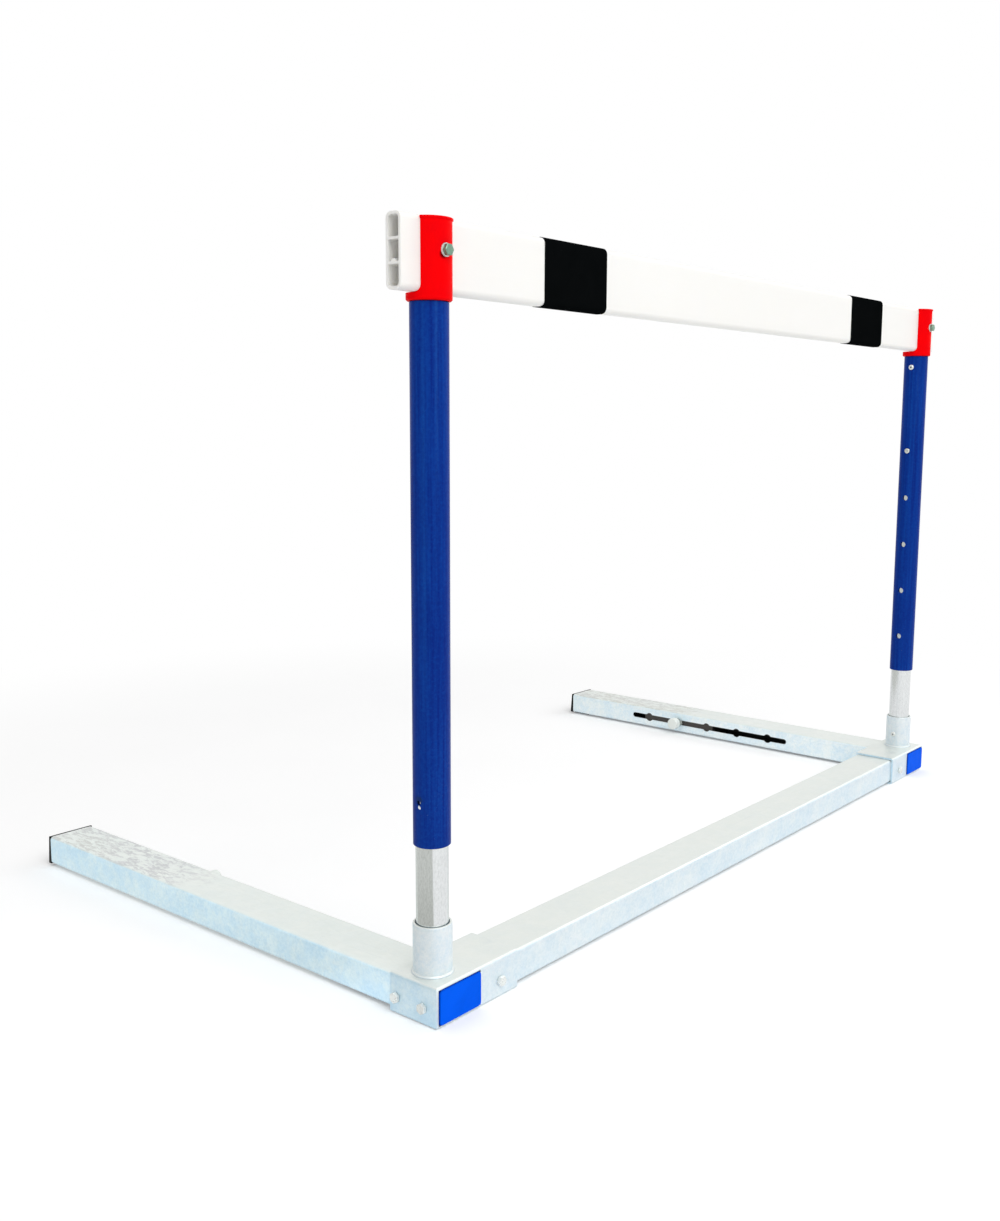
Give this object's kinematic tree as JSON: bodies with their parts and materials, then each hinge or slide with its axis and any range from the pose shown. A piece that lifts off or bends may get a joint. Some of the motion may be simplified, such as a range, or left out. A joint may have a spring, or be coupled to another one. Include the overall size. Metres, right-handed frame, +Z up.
{
  "type": "training hurdle",
  "caption": "Free-standing hurdle: hollow top bar on telescoping uprights with snap-button height lock, and counterweights that slide and lock inside slotted base legs.",
  "frame": {"origin": "on the floor, under the middle of the hurdle's bounding box", "axes": "+X along the bar to the right, +Y from the bar towards the free ends of the legs, +Z up"},
  "size_m": [1.22, 0.7042, 0.7626],
  "materials": {
    "galvanised": "hot-dip galvanised, satin",
    "zinc": "zinc plated",
    "steel": "plain, dull",
    "spring": "bright spring steel",
    "sleeve": "satin powder coat",
    "cap": "gloss moulded",
    "plug": "satin moulded",
    "foot": "matt moulded",
    "bar": "satin extruded",
    "band": "satin film",
    "knob": "satin moulded"
  },
  "bodies": {
    "base": {"base_crossbar": "galvanised", "corner_bracket_left": "galvanised", "corner_bracket_right": "galvanised", "crossbar_nut_left": "zinc", "crossbar_nut_right": "zinc", "crossbar_screw_left": "zinc", "crossbar_screw_right": "zinc", "inner_post_left": "galvanised", "inner_post_right": "galvanised", "leg_front_plug_left": "plug", "leg_front_plug_right": "plug", "leg_left": "galvanised", "leg_nut_front_left": "zinc", "leg_nut_front_right": "zinc", "leg_nut_rear_left": "zinc", "leg_nut_rear_right": "zinc", "leg_rear_foot_left": "foot", "leg_rear_foot_right": "foot", "leg_right": "galvanised", "leg_screw_front_left": "zinc", "leg_screw_front_right": "zinc", "leg_screw_rear_left": "zinc", "leg_screw_rear_right": "zinc", "post_socket_left": "galvanised", "post_socket_right": "galvanised", "snap_spring_left": "spring", "snap_spring_right": "spring", "socket_rivet_left": "zinc", "socket_rivet_right": "zinc"},
    "bar_frame": {"bar_band_left": "band", "bar_band_right": "band", "bar_nut_left": "zinc", "bar_nut_right": "zinc", "bar_screw_left": "zinc", "bar_screw_right": "zinc", "bar_washer_front_left": "zinc", "bar_washer_front_right": "zinc", "bar_washer_rear_left": "zinc", "bar_washer_rear_right": "zinc", "cap_rivet_left": "zinc", "cap_rivet_right": "zinc", "top_bar": "bar", "top_cap_left": "cap", "top_cap_right": "cap", "upright_sleeve_left": "sleeve", "upright_sleeve_right": "sleeve"},
    "snap_left": {"snap_button_left": "zinc"},
    "snap_right": {"snap_button_right": "zinc"},
    "weight_left": {"counterweight_left": "steel", "knob_spring_left": "spring"},
    "weight_right": {"counterweight_right": "steel", "knob_spring_right": "spring"},
    "knob_left": {"lock_pin_left": "zinc", "weight_knob_left": "knob"},
    "knob_right": {"lock_pin_right": "zinc", "weight_knob_right": "knob"}
  },
  "joints": [
    {"name": "height_slide", "type": "slide", "parent": "base", "child": "bar_frame", "axis": [0, 0, 1], "range_m": [0, 0.3048], "deforming": ["snap_button_left", "snap_button_right"]},
    {"name": "snap_press_left", "type": "slide", "parent": "base", "child": "snap_left", "axis": [-1, 0, 0], "range_m": [0, 0.005], "stiffness_N_per_m": 1500, "springref_m": -0.004, "deforming": ["snap_spring_left"]},
    {"name": "snap_press_right", "type": "slide", "parent": "base", "child": "snap_right", "axis": [1, 0, 0], "range_m": [0, 0.005], "stiffness_N_per_m": 1500, "springref_m": -0.004, "deforming": ["snap_spring_right"]},
    {"name": "weight_slide_left", "type": "slide", "parent": "base", "child": "weight_left", "axis": [0, 1, 0], "range_m": [-0.189, 0.063], "deforming": ["lock_pin_left"]},
    {"name": "weight_slide_right", "type": "slide", "parent": "base", "child": "weight_right", "axis": [0, 1, 0], "range_m": [-0.189, 0.063], "deforming": ["lock_pin_right"]},
    {"name": "knob_press_left", "type": "slide", "parent": "weight_left", "child": "knob_left", "axis": [-1, 0, 0], "range_m": [0, 0.004], "stiffness_N_per_m": 1500, "springref_m": -0.004, "deforming": ["knob_spring_left"]},
    {"name": "knob_press_right", "type": "slide", "parent": "weight_right", "child": "knob_right", "axis": [1, 0, 0], "range_m": [0, 0.004], "stiffness_N_per_m": 1500, "springref_m": -0.004, "deforming": ["knob_spring_right"]}
  ]
}
